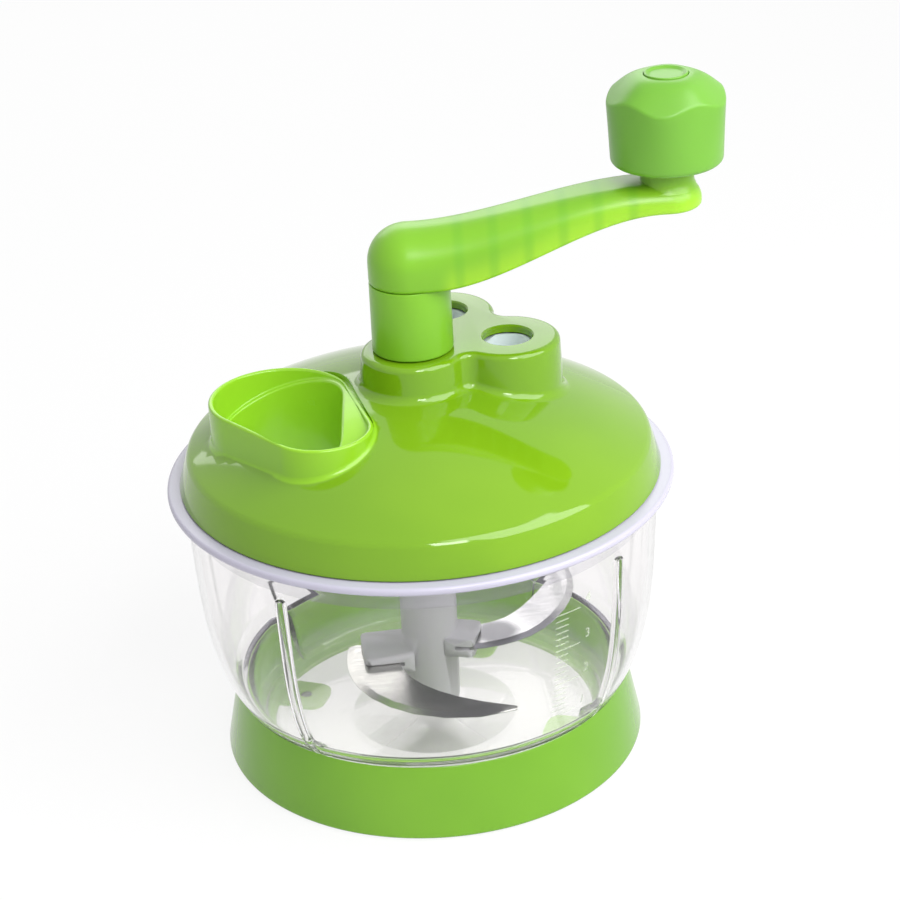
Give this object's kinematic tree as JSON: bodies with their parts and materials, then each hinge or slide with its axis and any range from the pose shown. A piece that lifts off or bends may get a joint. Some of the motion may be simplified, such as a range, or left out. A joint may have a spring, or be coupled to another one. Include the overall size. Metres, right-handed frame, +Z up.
{
  "type": "manual food chopper",
  "caption": "Hand cranked food chopper: clear bowl in a grip ring, geared dome lid with hopper and crank sockets, bladed spindle, crank with turning knob.",
  "frame": {"origin": "centre of the bowl's flat underside, on the axis of the bowl, spindle and centre gear; the feet stand 4 mm lower", "axes": "+Z up along the drive axis, +X towards the knob at rest, -Y towards the front that the picture shows"},
  "size_m": [0.2207, 0.2, 0.2754],
  "materials": {
    "grip_green": "satin green moulded plastic",
    "foot_rubber": "matt dark rubber",
    "clear_bowl": "clear polished plastic",
    "steel": "ground stainless steel",
    "white_plastic": "smooth white plastic",
    "lid_green": "glossy green moulded plastic",
    "flange_white": "glossy cool white plastic",
    "gear_white": "natural white gear plastic",
    "bush_bronze": "sintered bearing metal",
    "crank_green": "satin light green plastic",
    "knob_green": "satin green plastic"
  },
  "bodies": {
    "stand_and_bowl": {"base_ring": "grip_green", "foot_1": "foot_rubber", "foot_2": "foot_rubber", "foot_3": "foot_rubber", "foot_4": "foot_rubber", "bowl": "clear_bowl", "bowl_pin": "steel"},
    "lid": {"lid_dome": "lid_green", "lid_base": "flange_white", "drive_bush": "bush_bronze", "fast_gear_axle": "steel", "medium_gear_axle": "steel", "lid_screw_1": "steel", "lid_screw_2": "steel", "lid_screw_3": "steel", "lid_screw_4": "steel"},
    "drive": {"centre_gear": "gear_white", "drive_coupling": "white_plastic", "coupling_screw": "steel"},
    "fast_gear": {"fast_gear": "gear_white"},
    "medium_gear": {"medium_gear": "gear_white"},
    "blade_unit": {"blade_spindle": "white_plastic", "lower_blade": "steel", "upper_blade": "steel"},
    "crank": {"crank_hub": "crank_green", "crank_stem": "white_plastic", "crank_arm": "crank_green", "crank_screw": "steel", "knob_bolt": "steel"},
    "knob": {"knob": "knob_green", "knob_cap": "knob_green"}
  },
  "joints": [
    {"name": "lid_lift", "type": "slide", "parent": "stand_and_bowl", "child": "lid", "axis": [0, 0, 1], "range_m": [0, 0.05]},
    {"name": "drive_spin", "type": "hinge", "parent": "lid", "child": "drive", "pos_m": [0, 0, 0.13], "axis": [0, 0, 1], "continuous": true},
    {"name": "fast_gear_spin", "type": "hinge", "parent": "lid", "child": "fast_gear", "pos_m": [0.03687, 0.00683, 0.12], "axis": [0, 0, 1], "continuous": true},
    {"name": "medium_gear_spin", "type": "hinge", "parent": "lid", "child": "medium_gear", "pos_m": [0.01252, 0.03535, 0.12], "axis": [0, 0, 1], "continuous": true},
    {"name": "blade_spin", "type": "hinge", "parent": "stand_and_bowl", "child": "blade_unit", "pos_m": [0, 0, 0.03], "axis": [0, 0, 1], "continuous": true},
    {"name": "crank_pull", "type": "slide", "parent": "drive", "child": "crank", "axis": [0, 0, 1], "range_m": [0, 0.03]},
    {"name": "knob_spin", "type": "hinge", "parent": "crank", "child": "knob", "pos_m": [0.099, 0, 0.235], "axis": [0, 0, 1], "continuous": true}
  ],
  "couplings": [
    {"joint": "fast_gear_spin", "follows": "drive_spin", "ratio": -0.47059},
    {"joint": "medium_gear_spin", "follows": "drive_spin", "ratio": -0.66667},
    {"joint": "blade_spin", "follows": "drive_spin", "ratio": 1}
  ]
}
